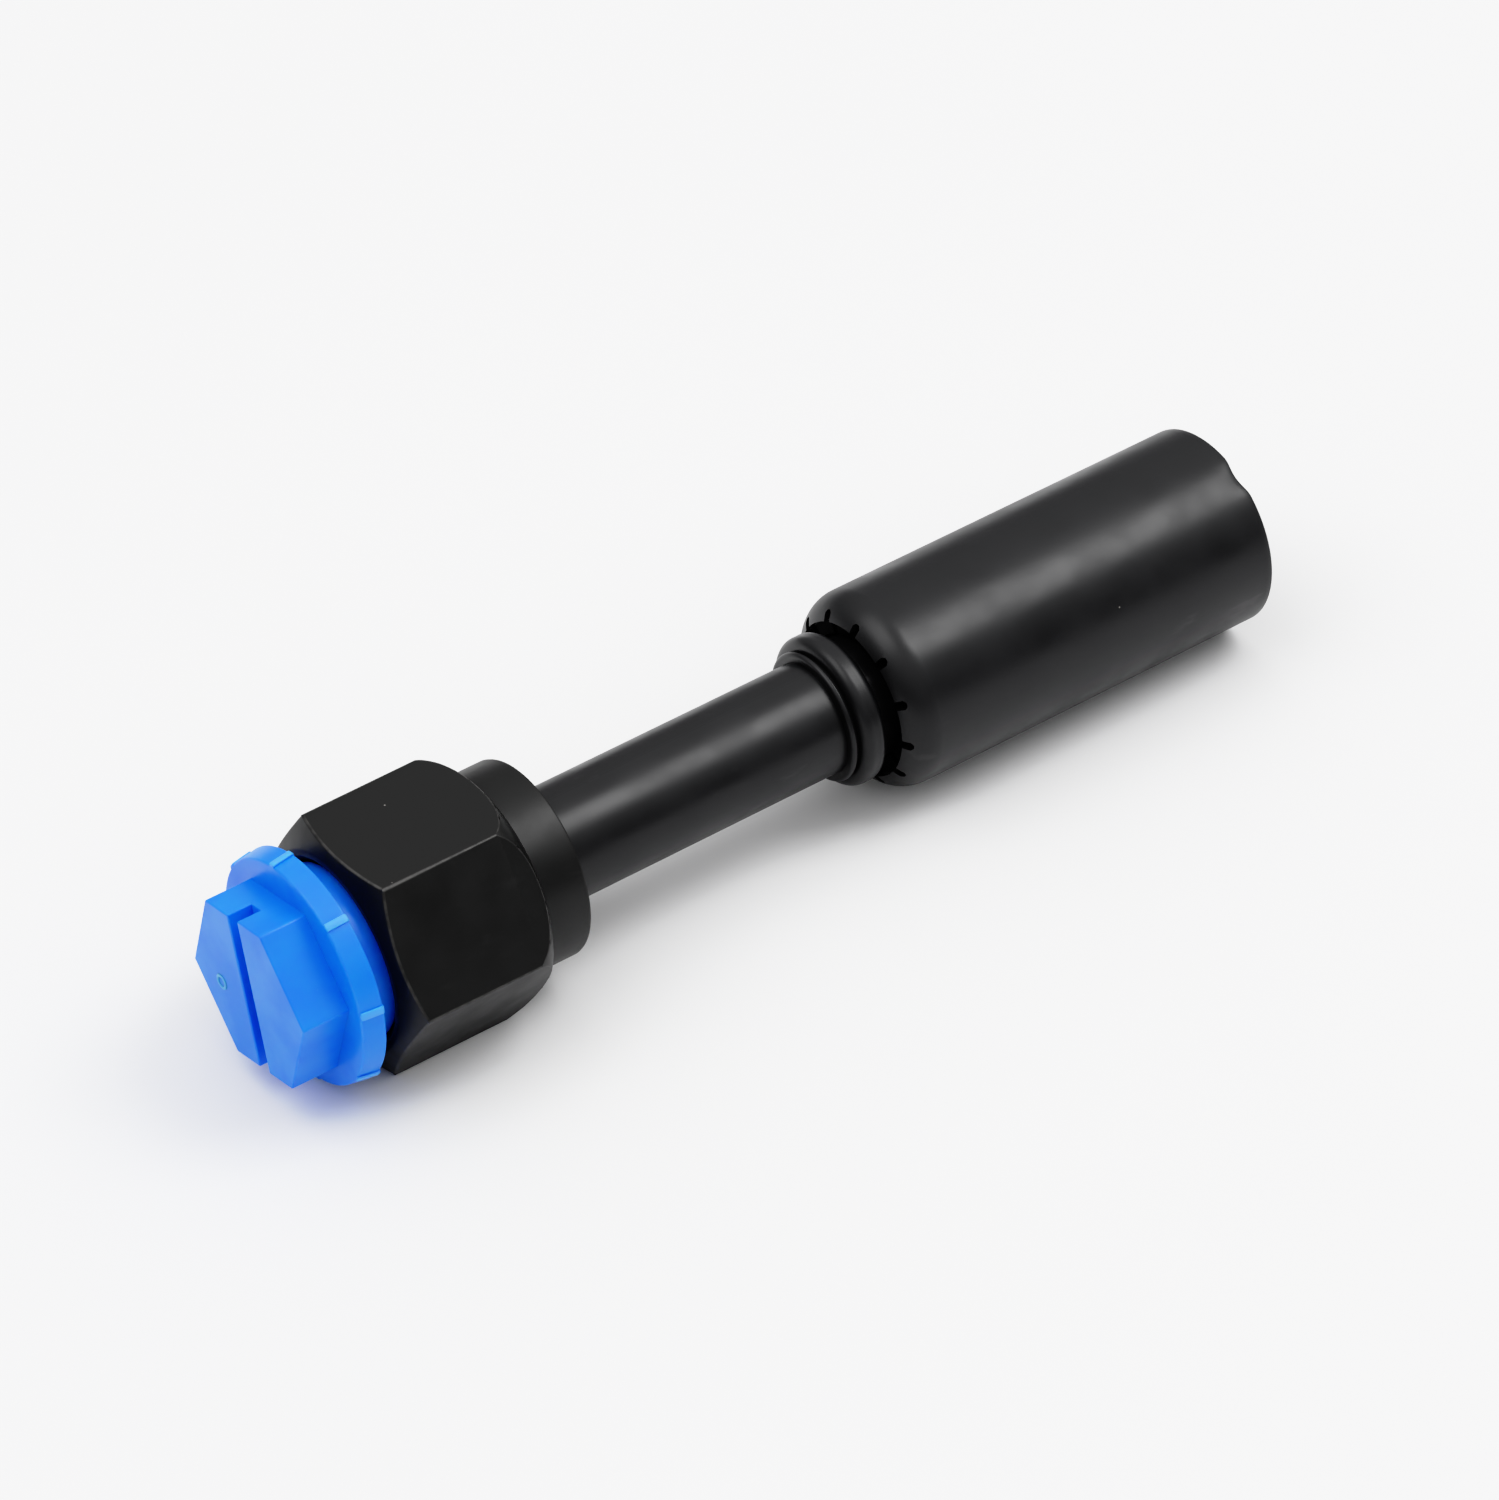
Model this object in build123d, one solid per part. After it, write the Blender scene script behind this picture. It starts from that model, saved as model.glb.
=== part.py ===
from build123d import *
import math
import os

# Crimp-style hose end: swivel nut, connector tube, hose insert, crimp sleeve and shipping plug.
# The flow axis is X. The origin lies on it, in the plane of the nut's front face. +X runs towards the
# hose, and +Z is up with one nut flat facing down. All sizes are in millimetres.

# ---- connector tube -------------------------------------------------------------------------------
TUBE_OD = 12.7
TUBE_WALL = 1.25
TUBE_SHOWN = 36.2          # from the back of the nut to the mouth of the insert's socket
SOCKET_DEPTH = 4.0         # tube end inside the insert
NOSE_LENGTH = 6.9          # pilot ahead of the capture bead
NOSE_CHAMFER = 0.5
BEAD_HEIGHT = 2.1
BEAD_WIDTH = 1.9
BEAD_ROUND = 0.5

# ---- nose O-ring ----------------------------------------------------------------------------------
RING_CORD = 1.8
RING_GROOVE_WIDTH = 2.1
RING_GROOVE_DEPTH = 0.6
RING_CLEARANCE = 0.02

# ---- shipping plug, inside the nut ----------------------------------------------------------------
NOSE_GAP = 0.65            # radial, the shank's bore round the tube's nose
SHANK_WALL = 1.65
SHANK_CLEARANCE = 0.1      # radial, shank in the thread bore
SHANK_LENGTH = 8.8
SHANK_CHAMFER = 0.7
SHANK_FLOOR = 2.0          # how far the bore runs on past the nut's face into the flange
NECK_FLARE = 1.0           # neck beyond the thread bore, radial
NECK_REACH = 0.8           # how far the neck dips into the nut's mouth

# ---- swivel nut -----------------------------------------------------------------------------------
THREAD_LENGTH = 11.0       # 3/4-16 UNF, from the bottom of the mouth's 45 degree lead-in
THREAD_RELIEF = 0.85       # radial, cavity for the capture bead behind the thread
MOUTH_LEAD = 2.0           # 45 degree lead-in
FACE_RING = 0.65           # flat ring on the front face, from the lead-in to the corner chamfer
FLATS_MARGIN = 1.3         # from the front face's rim out to the flats
NUT_CHAMFER_LENGTH = 1.7
NUT_EDGE_ROUND = 0.35
NUT_HEX_LENGTH = 19.1
NUT_SHOULDER_ROUND = 4.9
COLLAR_STEP = 1.6          # from the flats down to the collar
NUT_COLLAR_LENGTH = 5.1
NUT_COLLAR_CHAMFER = 0.4
NUT_BACK_WALL = 7.0        # from the cavity's floor to the back of the collar
SWIVEL_CLEARANCE = 0.2     # radial, tube in nut
BEAD_CLEARANCE = 0.1       # axial, capture bead to the cavity's floor

# ---- shipping plug, outside the nut ---------------------------------------------------------------
FLANGE_OVERHANG = 0.35     # beyond the nut's flats, radial
FLANGE_TAPER = 0.4         # mould draft across the flange's width, radial
FLANGE_WIDTH = 2.6
FLANGE_ROUND = 0.25
FLANGE_STAND_OFF = 2.5     # from the nut's face to the flange
RIDGE_COUNT = 8
RIDGE_WIDTH = 0.8
RIDGE_HEIGHT = 0.22
HEAD_INSET = 3.5           # from the flange's front rim in to the head's flats
HEAD_LENGTH = 5.5
HEAD_EDGE_ROUND = 0.3
PLUG_PHASE = 12.8          # turn of the head, flange ridges and slot about X
SLOT_WIDTH = 1.8
SLOT_DEPTH = 2.9
GATE_RADIUS = 5.4
GATE_ANGLE = 187.3         # from the plug's own phase
GATE_OD = 2.2
GATE_ID = 1.4
GATE_HEIGHT = 0.12

# ---- hose insert ----------------------------------------------------------------------------------
SOCKET_RING_WALL = 1.05
SOCKET_RING_WIDTH = 0.65
SOCKET_RING_ROUND = 0.25
COLLAR_GROOVE_WALL = 0.65
COLLAR_GROOVE_WIDTH = 0.3
COLLAR_BEAD_HEIGHT = 2.25
COLLAR_BEAD_WIDTH = 3.1
SEAT_WALL = 0.55           # neck that the sleeve's teeth run round
STOP_GAP = 1.35            # radial, stop behind the teeth to the sleeve's bore
STOP_WIDTH = 1.6
NIPPLE_OD = 10.4
NIPPLE_WALL = 1.3
NIPPLE_END_INSET = 4.9     # from the sleeve's open end back to the nipple's tip
NIPPLE_TIP_CHAMFER = 0.6
FUNNEL_OVERRUN = 0.4       # how far the funnel from the tube's bore runs past the stop
RIB_COUNT = 5
RIB_HEIGHT = 0.3
RIB_WIDTH = 1.8
RIB_MARGIN = 5.0           # plain nipple left before the first and after the last rib

# ---- crimp sleeve ---------------------------------------------------------------------------------
TOOTH_CLEARANCE = 0.25     # radial, teeth to the insert's neck
TOOTH_LENGTH = 1.75
TOOTH_THICKNESS = 1.0
TOOTH_PLAY = 0.4           # axial, teeth to the insert's stop
MOUTH_DEPTH = 1.1          # from the closed end back to the teeth
NOTCH_COUNT = 12
NOTCH_WIDTH = 1.2
NOTCH_DEPTH = 1.1          # beyond the mouth's edge, radial
NOTCH_PHASE = 58.0
SHOULDER_WIDTH = 2.35      # from the mouth's edge out to the side of the sleeve
SLEEVE_WALL = 1.4
SLEEVE_LENGTH = 48.8
SLEEVE_END_ROUND = 4.0
SLEEVE_EDGE_ROUND = 0.3
COLLAR_GAP = 0.8           # from the insert's bead to the sleeve's closed end

# ---- diameters that follow from the tube outwards ---------------------------------------------------
TUBE_BORE = TUBE_OD - 2 * TUBE_WALL
BEAD_OD = TUBE_OD + 2 * BEAD_HEIGHT
RING_GROOVE_OD = TUBE_OD - 2 * RING_GROOVE_DEPTH
SHANK_BORE = TUBE_OD + 2 * NOSE_GAP
SHANK_OD = SHANK_BORE + 2 * SHANK_WALL
THREAD_BORE = SHANK_OD + 2 * SHANK_CLEARANCE
NUT_CAVITY_OD = THREAD_BORE + 2 * THREAD_RELIEF
NUT_MOUTH_OD = THREAD_BORE + 2 * MOUTH_LEAD
NUT_FACE_OD = NUT_MOUTH_OD + 2 * FACE_RING
NUT_FLATS = NUT_FACE_OD + 2 * FLATS_MARGIN
NUT_COLLAR_OD = NUT_FLATS - 2 * COLLAR_STEP
NUT_TUBE_HOLE = TUBE_OD + 2 * SWIVEL_CLEARANCE
NECK_OD = THREAD_BORE + 2 * NECK_FLARE
FLANGE_BACK_OD = NUT_FLATS + 2 * FLANGE_OVERHANG
FLANGE_FRONT_OD = FLANGE_BACK_OD - 2 * FLANGE_TAPER
HEAD_FLATS = FLANGE_FRONT_OD - 2 * HEAD_INSET
SOCKET_RING_OD = TUBE_OD + 2 * SOCKET_RING_WALL
COLLAR_GROOVE_OD = TUBE_OD + 2 * COLLAR_GROOVE_WALL
COLLAR_BEAD_OD = TUBE_OD + 2 * COLLAR_BEAD_HEIGHT
SEAT_OD = TUBE_OD + 2 * SEAT_WALL
NIPPLE_BORE = NIPPLE_OD - 2 * NIPPLE_WALL
TOOTH_TIP_OD = SEAT_OD + 2 * TOOTH_CLEARANCE
MOUTH_OD = TOOTH_TIP_OD + 2 * TOOTH_LENGTH
NOTCH_OD = MOUTH_OD + 2 * NOTCH_DEPTH
SLEEVE_OD = MOUTH_OD + 2 * SHOULDER_WIDTH
SLEEVE_BORE = SLEEVE_OD - 2 * SLEEVE_WALL
STOP_OD = SLEEVE_BORE - 2 * STOP_GAP

# ---- stations along X, from the nut's front face --------------------------------------------------
NUT_BACK = NUT_HEX_LENGTH + NUT_COLLAR_LENGTH
CAVITY_FRONT = MOUTH_LEAD + THREAD_LENGTH
CAVITY_FLOOR = NUT_BACK - NUT_BACK_WALL
BEAD_BACK = CAVITY_FLOOR - BEAD_CLEARANCE
BEAD_FRONT = BEAD_BACK - BEAD_WIDTH
NOSE_TIP = BEAD_FRONT - NOSE_LENGTH
SOCKET_MOUTH = NUT_BACK + TUBE_SHOWN
SOCKET_FLOOR = SOCKET_MOUTH + SOCKET_DEPTH
COLLAR_BEAD_FRONT = SOCKET_MOUTH + SOCKET_RING_WIDTH + COLLAR_GROOVE_WIDTH
COLLAR_BEAD_BACK = COLLAR_BEAD_FRONT + COLLAR_BEAD_WIDTH
SLEEVE_FRONT = COLLAR_BEAD_BACK + COLLAR_GAP
TOOTH_FRONT = SLEEVE_FRONT + MOUTH_DEPTH
TOOTH_BACK = TOOTH_FRONT + TOOTH_THICKNESS
STOP_FRONT = TOOTH_BACK + TOOTH_PLAY
STOP_BACK = STOP_FRONT + STOP_WIDTH
FUNNEL_END = STOP_BACK + FUNNEL_OVERRUN
SLEEVE_BACK = SLEEVE_FRONT + SLEEVE_LENGTH
NIPPLE_TIP = SLEEVE_BACK - NIPPLE_END_INSET
FLANGE_BACK = -FLANGE_STAND_OFF
FLANGE_FRONT = FLANGE_BACK - FLANGE_WIDTH
HEAD_FRONT = FLANGE_FRONT - HEAD_LENGTH
SHANK_END = NECK_REACH + SHANK_LENGTH

EPS = 0.5                  # how far a cutter runs past the material


def turned(*section):
    """Solid of revolution about X, from the (x, diameter) corners of its half section."""
    outline = Polyline(*[(x, 0, diameter / 2) for x, diameter in section], close=True)
    return revolve(make_face(outline), Axis.X)


def bar(start, end, diameter):
    """Round bar on the X axis."""
    return turned((start, 0), (end, 0), (end, diameter), (start, diameter))


def rims(body, x, diameter):
    """The circular edges of a body at one station and diameter."""
    circles = body.edges().filter_by(GeomType.CIRCLE)
    return [e for e in circles if abs(e.arc_center.X - x) < 1e-3 and abs(2 * e.radius - diameter) < 1e-3]


def hexagon(across_flats, start, end, phase=0.0):
    """Hexagonal bar along X, with flats facing up and down when the phase is zero."""
    outline = RegularPolygon(across_flats / 2, 6, major_radius=False)
    front = Plane(origin=(start, 0, 0), x_dir=(0, -1, 0), z_dir=(-1, 0, 0))
    return turned_about_axis(extrude(front * outline, start - end), phase)


def turned_about_axis(body, degrees):
    """A body turned about X, so that its side facing -Y moves up by the angle."""
    return Rot(-degrees, 0, 0) * body


def slab(start, end, width, inner, outer, degrees):
    """Radial block that stands on the X axis at an angle, counted from -Y upwards."""
    block = Pos((start + end) / 2, -(inner + outer) / 2, 0) * Box(end - start, outer - inner, width)
    return turned_about_axis(block, degrees)


def connector_tube():
    """Straight tube with an O-ring pilot and the capture bead that holds the nut."""
    groove_front = BEAD_FRONT - RING_GROOVE_WIDTH
    tube = bar(NOSE_TIP, SOCKET_FLOOR, TUBE_OD)
    bead = bar(BEAD_FRONT, BEAD_BACK, BEAD_OD)
    bead = fillet(rims(bead, BEAD_FRONT, BEAD_OD) + rims(bead, BEAD_BACK, BEAD_OD), BEAD_ROUND)
    tube = chamfer(rims(tube, NOSE_TIP, TUBE_OD), NOSE_CHAMFER) + bead
    tube -= turned(
        (groove_front, RING_GROOVE_OD),
        (BEAD_FRONT, RING_GROOVE_OD),
        (BEAD_FRONT, TUBE_OD + EPS),
        (groove_front, TUBE_OD + EPS),
    )
    return tube - bar(NOSE_TIP - EPS, SOCKET_FLOOR + EPS, TUBE_BORE)


def nose_o_ring():
    """O-ring in the pilot's groove, against the capture bead."""
    centre = (BEAD_FRONT - RING_GROOVE_WIDTH / 2, 0, (RING_GROOVE_OD + RING_CORD) / 2 + RING_CLEARANCE)
    section = Plane(origin=centre, z_dir=(0, 1, 0)) * Circle(RING_CORD / 2)
    return revolve(section, Axis.X)


def swivel_nut():
    """Hexagon union nut with a round collar, bored for its thread, the capture bead and the tube."""
    corner_od = NUT_FLATS / math.cos(math.pi / 6)
    envelope_od = corner_od + 0.2
    hexagon_bar = hexagon(NUT_FLATS, 0, NUT_HEX_LENGTH)
    hexagon_bar = fillet(hexagon_bar.edges().filter_by(Axis.X), NUT_EDGE_ROUND)
    envelope = turned(
        (0, 0),
        (0, NUT_FACE_OD),
        (NUT_CHAMFER_LENGTH, envelope_od),
        (NUT_HEX_LENGTH, envelope_od),
        (NUT_HEX_LENGTH, 0),
    )
    envelope = fillet(rims(envelope, NUT_HEX_LENGTH, envelope_od), NUT_SHOULDER_ROUND)
    collar = bar(NUT_HEX_LENGTH - NUT_SHOULDER_ROUND, NUT_BACK, NUT_COLLAR_OD)
    collar = chamfer(rims(collar, NUT_BACK, NUT_COLLAR_OD), NUT_COLLAR_CHAMFER)
    hollow = turned(
        (-EPS, 0),
        (-EPS, NUT_MOUTH_OD + 2 * EPS),
        (MOUTH_LEAD, THREAD_BORE),
        (CAVITY_FRONT, THREAD_BORE),
        (CAVITY_FRONT + THREAD_RELIEF, NUT_CAVITY_OD),
        (CAVITY_FLOOR, NUT_CAVITY_OD),
        (CAVITY_FLOOR, NUT_TUBE_HOLE),
        (NUT_BACK + EPS, NUT_TUBE_HOLE),
        (NUT_BACK + EPS, 0),
    )
    return (hexagon_bar & envelope) + collar - hollow


def nipple_rib(x):
    """Low rounded rib round the nipple."""
    root = NIPPLE_OD / 2 - RIB_HEIGHT
    crest = NIPPLE_OD / 2 + RIB_HEIGHT
    shoulder = NIPPLE_OD / 2
    arc = ThreePointArc((x - RIB_WIDTH / 2, 0, shoulder), (x, 0, crest), (x + RIB_WIDTH / 2, 0, shoulder))
    base = Polyline(arc @ 1, (x + RIB_WIDTH / 2, 0, root), (x - RIB_WIDTH / 2, 0, root), arc @ 0)
    return revolve(make_face([arc, base]), Axis.X)


def hose_insert():
    """Turned insert: tube socket, ring, groove, large bead, sleeve seat, stop and ribbed nipple."""
    socket_ring = bar(SOCKET_MOUTH, SOCKET_MOUTH + SOCKET_RING_WIDTH, SOCKET_RING_OD)
    ring_edges = [edge for x in (SOCKET_MOUTH, SOCKET_MOUTH + SOCKET_RING_WIDTH)
                  for edge in rims(socket_ring, x, SOCKET_RING_OD)]
    socket_ring = fillet(ring_edges, SOCKET_RING_ROUND)
    groove = bar(SOCKET_MOUTH + SOCKET_RING_WIDTH / 2, COLLAR_BEAD_FRONT + EPS, COLLAR_GROOVE_OD)
    bead_arc = ThreePointArc(
        (COLLAR_BEAD_FRONT, 0, COLLAR_GROOVE_OD / 2),
        ((COLLAR_BEAD_FRONT + COLLAR_BEAD_BACK) / 2, 0, COLLAR_BEAD_OD / 2),
        (COLLAR_BEAD_BACK, 0, COLLAR_GROOVE_OD / 2),
    )
    bead_base = Polyline(bead_arc @ 1, (COLLAR_BEAD_BACK, 0, 0), (COLLAR_BEAD_FRONT, 0, 0), bead_arc @ 0)
    bead = revolve(make_face([bead_arc, bead_base]), Axis.X)
    seat = bar(COLLAR_BEAD_BACK - EPS, STOP_FRONT + EPS, SEAT_OD)
    stop = bar(STOP_FRONT, STOP_BACK, STOP_OD)
    nipple = bar(STOP_BACK - EPS, NIPPLE_TIP, NIPPLE_OD)
    nipple = chamfer(rims(nipple, NIPPLE_TIP, NIPPLE_OD), NIPPLE_TIP_CHAMFER)
    insert = socket_ring + groove + bead + seat + stop + nipple
    first_rib = STOP_BACK + RIB_MARGIN
    rib_step = (NIPPLE_TIP - RIB_MARGIN - first_rib) / (RIB_COUNT - 1)
    for index in range(RIB_COUNT):
        insert += nipple_rib(first_rib + index * rib_step)
    insert -= bar(SOCKET_MOUTH - EPS, SOCKET_FLOOR, TUBE_OD)
    return insert - turned(
        (SOCKET_FLOOR - EPS, 0),
        (SOCKET_FLOOR - EPS, TUBE_BORE),
        (SOCKET_FLOOR, TUBE_BORE),
        (FUNNEL_END, NIPPLE_BORE),
        (NIPPLE_TIP + EPS, NIPPLE_BORE),
        (NIPPLE_TIP + EPS, 0),
    )


def crimp_sleeve():
    """Drawn sleeve: rounded closed end with a notched, toothed hole, and an open hose end."""
    shell = bar(SLEEVE_FRONT, SLEEVE_BACK, SLEEVE_OD)
    shell = fillet(rims(shell, SLEEVE_FRONT, SLEEVE_OD), SLEEVE_END_ROUND)
    cavity = bar(TOOTH_BACK, SLEEVE_BACK + EPS, SLEEVE_BORE)
    cavity = fillet(rims(cavity, TOOTH_BACK, SLEEVE_BORE), SLEEVE_END_ROUND - SLEEVE_WALL)
    shell -= cavity
    shell -= bar(SLEEVE_FRONT - EPS, TOOTH_FRONT, MOUTH_OD)
    shell -= bar(SLEEVE_FRONT - EPS, TOOTH_BACK + EPS, TOOTH_TIP_OD)
    open_rims = rims(shell, SLEEVE_BACK, SLEEVE_OD) + rims(shell, SLEEVE_BACK, SLEEVE_BORE)
    shell = fillet(open_rims, SLEEVE_EDGE_ROUND)
    for index in range(NOTCH_COUNT):
        angle = NOTCH_PHASE + index * 360 / NOTCH_COUNT
        shell -= slab(SLEEVE_FRONT - EPS, TOOTH_BACK + EPS, NOTCH_WIDTH, SEAT_OD / 2, NOTCH_OD / 2, angle)
    return shell


def shipping_plug():
    """Moulded plug: slotted hexagon head, ridged flange, neck and a hollow shank in the nut's thread."""
    head = hexagon(HEAD_FLATS, HEAD_FRONT, FLANGE_FRONT + EPS)
    head = fillet(head.edges().filter_by(Axis.X) + head.faces().sort_by(Axis.X)[0].edges(), HEAD_EDGE_ROUND)
    slot = Box(2 * SLOT_DEPTH, SLOT_WIDTH, 2 * HEAD_FLATS)
    head -= Pos(HEAD_FRONT, 0, 0) * slot
    head += gate_mark()
    flange = turned(
        (FLANGE_FRONT, 0),
        (FLANGE_FRONT, FLANGE_FRONT_OD),
        (FLANGE_BACK, FLANGE_BACK_OD),
        (FLANGE_BACK, 0),
    )
    flange_edges = rims(flange, FLANGE_FRONT, FLANGE_FRONT_OD) + rims(flange, FLANGE_BACK, FLANGE_BACK_OD)
    flange = fillet(flange_edges, FLANGE_ROUND)
    ridge_cone = turned(
        (FLANGE_FRONT, 0),
        (FLANGE_FRONT, FLANGE_FRONT_OD + 2 * RIDGE_HEIGHT),
        (FLANGE_BACK, FLANGE_BACK_OD + 2 * RIDGE_HEIGHT),
        (FLANGE_BACK, 0),
    )
    reach = FLANGE_BACK_OD / 2 + 2 * RIDGE_HEIGHT
    for index in range(RIDGE_COUNT):
        angle = index * 360 / RIDGE_COUNT
        flange += ridge_cone & slab(FLANGE_FRONT, FLANGE_BACK, RIDGE_WIDTH, HEAD_FLATS / 2, reach, angle)
    neck = bar(FLANGE_BACK - EPS, NECK_REACH, NECK_OD)
    shank = bar(NECK_REACH - EPS, SHANK_END, SHANK_OD)
    shank = chamfer(rims(shank, SHANK_END, SHANK_OD), SHANK_CHAMFER)
    plug = head + flange + neck + shank
    plug -= bar(-SHANK_FLOOR, SHANK_END + EPS, SHANK_BORE)
    return turned_about_axis(plug, PLUG_PHASE)


def gate_mark():
    """Low ring left by the mould gate on the head's front face."""
    ring = bar(HEAD_FRONT - GATE_HEIGHT, HEAD_FRONT + GATE_HEIGHT, GATE_OD)
    ring -= bar(HEAD_FRONT - 2 * GATE_HEIGHT, HEAD_FRONT, GATE_ID)
    return turned_about_axis(Pos(0, -GATE_RADIUS, 0) * ring, GATE_ANGLE)


PIECES = (connector_tube, hose_insert, crimp_sleeve, swivel_nut, nose_o_ring, shipping_plug)

os.makedirs("parts", exist_ok=True)
for make_piece in PIECES:
    export_step(make_piece(), f"parts/{make_piece.__name__}.step")
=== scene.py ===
"""Looks of a crimp-style hose end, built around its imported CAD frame.

The hose end is a swivel nut, a connector tube, a hose insert, a crimp sleeve, an O-ring and a blue
shipping plug. Blender works in metres; the sizes below are in millimetres and are turned into metres
by the functions that place them. The flow axis is X, +X towards the hose, +Z up, and the origin lies
on the axis in the plane of the nut's front face.
"""

import logging
import math
from dataclasses import dataclass, field
from enum import Enum
from typing import Callable, Sequence

import bmesh
import bpy
from mathutils import Matrix, Vector


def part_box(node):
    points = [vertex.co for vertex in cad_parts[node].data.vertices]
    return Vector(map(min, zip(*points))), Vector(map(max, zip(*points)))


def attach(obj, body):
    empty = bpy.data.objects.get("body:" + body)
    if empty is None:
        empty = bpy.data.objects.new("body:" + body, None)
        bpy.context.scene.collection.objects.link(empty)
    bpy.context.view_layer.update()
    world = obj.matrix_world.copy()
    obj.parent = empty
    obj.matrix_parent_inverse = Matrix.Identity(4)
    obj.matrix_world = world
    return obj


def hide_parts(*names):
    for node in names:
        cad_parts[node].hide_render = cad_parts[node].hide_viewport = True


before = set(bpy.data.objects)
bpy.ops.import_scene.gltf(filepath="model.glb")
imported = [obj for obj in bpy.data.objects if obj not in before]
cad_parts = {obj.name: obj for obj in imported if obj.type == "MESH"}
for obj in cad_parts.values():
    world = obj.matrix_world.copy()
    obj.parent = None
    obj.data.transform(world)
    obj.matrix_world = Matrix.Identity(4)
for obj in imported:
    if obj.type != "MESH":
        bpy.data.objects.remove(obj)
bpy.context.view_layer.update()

Mesh = bmesh.types.BMesh
Edge = bmesh.types.BMEdge
Face = bmesh.types.BMFace
Socket = bpy.types.NodeSocket
Triple = tuple[float, float, float]

# MERGE, in metres, joins points that fall together. NEAR, in millimetres, tells whether a point lies on
# a surface. CREST names the vertex attribute that marks the crests of rounded or thin edges; the nut's
# coat paints them lighter as wear and painted highlight, the plug's plastic as painted highlight.
MM = 0.001
MERGE = 1e-7
NEAR = 0.01
CREST = "crest"
HEX_CORNER = math.cos(math.radians(30))
log = logging.getLogger("hose_end")


class Body(Enum):
    """The moving bodies of the frame."""

    STEM = "stem"
    NUT = "nut"
    PLUG = "plug"
    SLEEVE = "sleeve"


class Slot(Enum):
    """The material slots of the frame's record."""

    SATIN_BLACK = "satin_black_steel"
    MATT_BLACK = "matt_black_steel"
    RUBBER = "green_rubber"
    BLUE = "blue_plastic"


# ---- turning ----


@dataclass(frozen=True)
class Corner:
    """One corner of a turned section.

    x and radius place it, round is the set-back of its rounding, and steps the facets of that.
    """

    x: float
    radius: float
    round: float = 0.0
    steps: int = 3


def arc(x: float, radius: float, bend: float, start: float, end: float, steps: int) -> list[Corner]:
    """Makes the corners of a circular arc in the section's plane.

    Args:
        x: Place of the arc's centre along the axis.
        radius: Distance of the arc's centre from the axis.
        bend: Radius of the arc.
        start: First angle in degrees; 0 looks towards -X and 90 away from the axis.
        end: Last angle in degrees.
        steps: Number of chords.

    Returns:
        The corners from start to end, both included.
    """
    corners = []
    for step in range(steps + 1):
        angle = math.radians(start + (end - start) * step / steps)
        corners.append(Corner(x - bend * math.cos(angle), radius + bend * math.sin(angle)))
    return corners


def bevel(mesh: Mesh, geometry: Sequence, width: float, steps: int, affect: str = "EDGES") -> list[Face]:
    """Rounds edges or points by a set-back in millimetres, and returns the faces of the rounding."""
    return bmesh.ops.bevel(
        mesh,
        geom=geometry,
        offset=width * MM,
        offset_type="OFFSET",
        segments=steps,
        profile=0.5,
        affect=affect,
        material=-1,
        clamp_overlap=False,
    )["faces"]


def draw_section(mesh: Mesh, corners: Sequence[Corner], closed: bool) -> None:
    """Draws a section, open or closed, as wire in the half plane above the axis and rounds its corners."""
    points = [mesh.verts.new((corner.x * MM, 0, corner.radius * MM)) for corner in corners]
    followers = points[1:] + points[:1] if closed else points[1:]
    for point, follower in zip(points, followers):
        mesh.edges.new((point, follower))
    for point, corner in zip(points, corners):
        if corner.round:
            bevel(mesh, [point], corner.round, corner.steps, affect="VERTICES")


def face_out(mesh: Mesh) -> None:
    """Turns all faces outwards."""
    bmesh.ops.recalc_face_normals(mesh, faces=mesh.faces[:])


def spin_section(mesh: Mesh, columns: int) -> None:
    """Spins a wire section once round the X axis and merges its two ends."""
    bmesh.ops.spin(
        mesh,
        geom=mesh.verts[:] + mesh.edges[:],
        cent=(0, 0, 0),
        axis=(1, 0, 0),
        dvec=(0, 0, 0),
        angle=math.tau,
        steps=columns,
        use_merge=True,
        use_duplicate=False,
    )


def turned(corners: Sequence[Corner], columns: int, closed: bool = True) -> Mesh:
    """Turns a section into a skin with its poles merged and its faces outwards.

    Args:
        corners: The section's corners in order.
        columns: Number of facets round the axis.
        closed: Whether the section is a closed outline.

    Returns:
        The turned mesh.
    """
    mesh = bmesh.new()
    draw_section(mesh, corners, closed)
    spin_section(mesh, columns)
    bmesh.ops.remove_doubles(mesh, verts=mesh.verts[:], dist=MERGE)
    face_out(mesh)
    return mesh


def radius_of(point: Vector) -> float:
    """Distance from the axis, in millimetres."""
    return math.hypot(point.y, point.z) / MM


def angle_of(point: Vector) -> float:
    """Right-hand angle about X, in turns from +Y."""
    return math.atan2(point.z, point.y) / math.tau


def set_radius(point: Vector, radius: float) -> None:
    """Moves a point to a distance from the axis, in millimetres."""
    scale = radius / radius_of(point)
    point.y *= scale
    point.z *= scale


def turn_up(mesh: Mesh, degrees: float) -> None:
    """Turns a mesh about X so that its side facing -Y moves up."""
    matrix = Matrix.Rotation(-math.radians(degrees), 4, "X")
    bmesh.ops.transform(mesh, matrix=matrix, verts=mesh.verts[:])


def cut_plane(mesh: Mesh, place: Vector, normal: Vector, clear: bool = False) -> list[Edge]:
    """Cuts a mesh with a plane, clears what lies in front where told to, and returns the cut's edges."""
    cut = bmesh.ops.bisect_plane(
        mesh,
        geom=mesh.verts[:] + mesh.edges[:] + mesh.faces[:],
        dist=MERGE,
        plane_co=place,
        plane_no=normal,
        clear_outer=clear,
    )
    return [item for item in cut["geom_cut"] if isinstance(item, Edge)]


def take_in(mesh: Mesh, part: Mesh) -> None:
    """Adds a part to a mesh and frees the part."""
    data = bpy.data.meshes.new("part")
    part.to_mesh(data)
    part.free()
    mesh.from_mesh(data)
    bpy.data.meshes.remove(data)


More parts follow.
